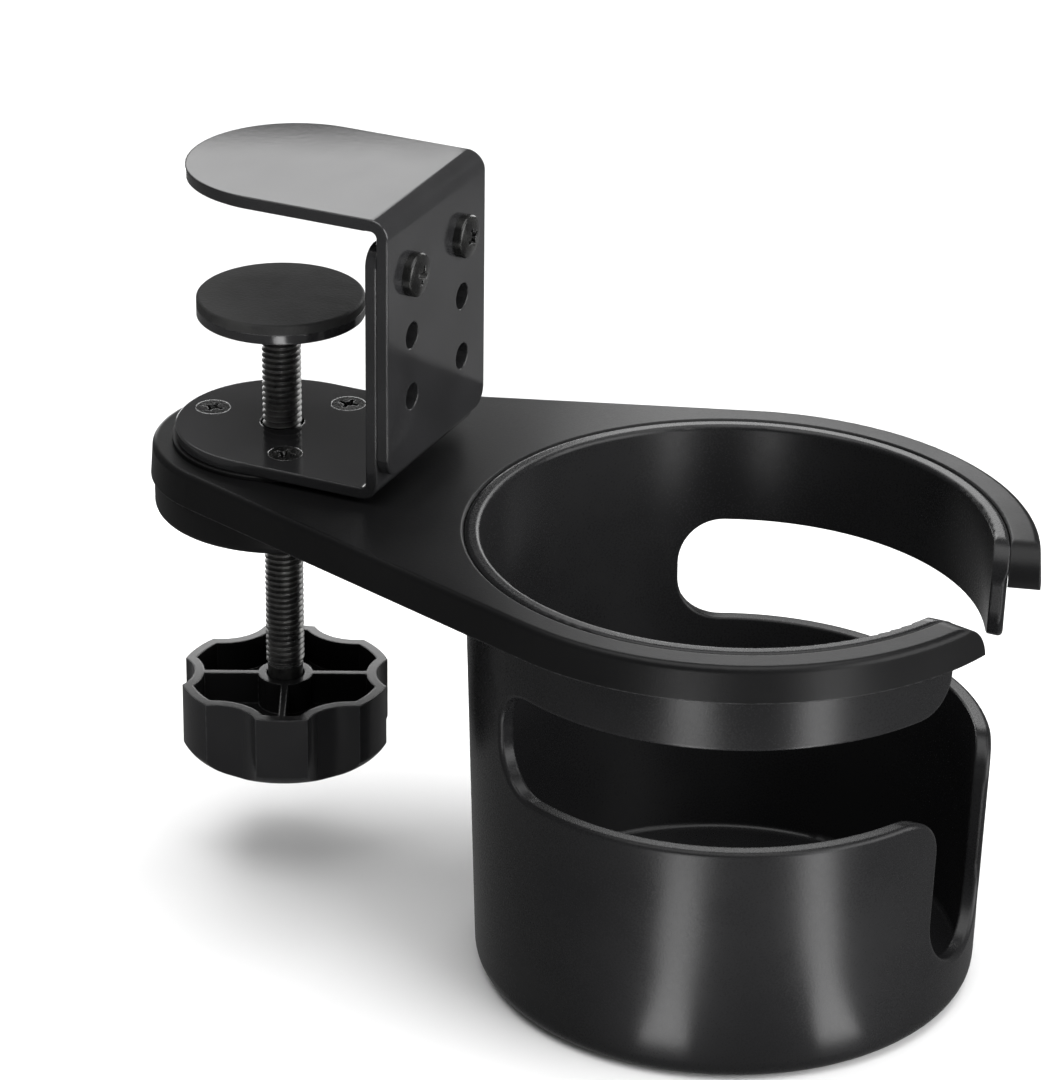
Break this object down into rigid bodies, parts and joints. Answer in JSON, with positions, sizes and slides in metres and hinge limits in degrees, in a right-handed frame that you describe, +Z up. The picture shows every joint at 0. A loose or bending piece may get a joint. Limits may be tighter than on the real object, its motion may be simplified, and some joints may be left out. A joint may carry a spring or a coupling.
{
  "type": "desk clamp cup holder",
  "caption": "Screw clamp for a desk edge with a swivelling arm that carries an open sided cup with a slot for a mug handle.",
  "frame": {"origin": "clamp screw axis at the clamping face of the upper jaw pad, the face that lies on the desk top", "axes": "+Z up along the clamp screw, +X from the clamp screw towards the cup axis, +Y completes the right-hand frame across the bracket"},
  "size_m": [0.1849, 0.1194, 0.1555],
  "materials": {
    "powder_coat": "gloss black powder coat on bent steel sheet",
    "jaw_rubber": "matt black rubber",
    "black_zinc": "black zinc plated steel",
    "insert_brass": "turned brass",
    "hub_plastic": "satin black moulding",
    "liner_nylon": "black nylon",
    "bare_steel": "zinc plated steel",
    "arm_plastic": "fine grained satin black moulding",
    "cup_plastic": "fine grained satin black moulding",
    "knob_plastic": "semi gloss black moulding",
    "screw_steel": "black oxide threaded steel",
    "plate_steel": "black powder coated steel"
  },
  "bodies": {
    "clamp": {"upper_bracket": "powder_coat", "upper_jaw_pad": "jaw_rubber", "lower_bracket": "powder_coat", "joint_screw_near": "black_zinc", "joint_screw_far": "black_zinc", "foot_screw_a": "black_zinc", "foot_screw_b": "black_zinc", "foot_screw_c": "black_zinc", "hub_insert_a": "insert_brass", "hub_insert_b": "insert_brass", "hub_insert_c": "insert_brass", "swivel_disc": "hub_plastic", "swivel_hub": "hub_plastic", "swivel_liner": "liner_nylon", "clamp_nut": "bare_steel"},
    "arm": {"holder_arm": "arm_plastic", "cup_shell": "cup_plastic"},
    "pad": {"pressure_plate": "plate_steel", "pressure_rubber": "jaw_rubber"},
    "screw": {"clamp_screw": "screw_steel", "knob": "knob_plastic", "tip_clip": "bare_steel"}
  },
  "joints": [
    {"name": "arm_swivel", "type": "hinge", "parent": "clamp", "child": "arm", "pos_m": [0, 0, -0.0611], "axis": [0, 0, 1], "continuous": true},
    {"name": "jaw_travel", "type": "slide", "parent": "clamp", "child": "pad", "axis": [0, 0, 1], "range_m": [-0.0195, 0.0255]},
    {"name": "screw_turn", "type": "hinge", "parent": "pad", "child": "screw", "pos_m": [0, 0, -0.034], "axis": [0, 0, 1], "range_deg": [-5617, 7345]}
  ],
  "couplings": [
    {"joint": "screw_turn", "follows": "jaw_travel", "rad_per_m": 5026.5}
  ]
}
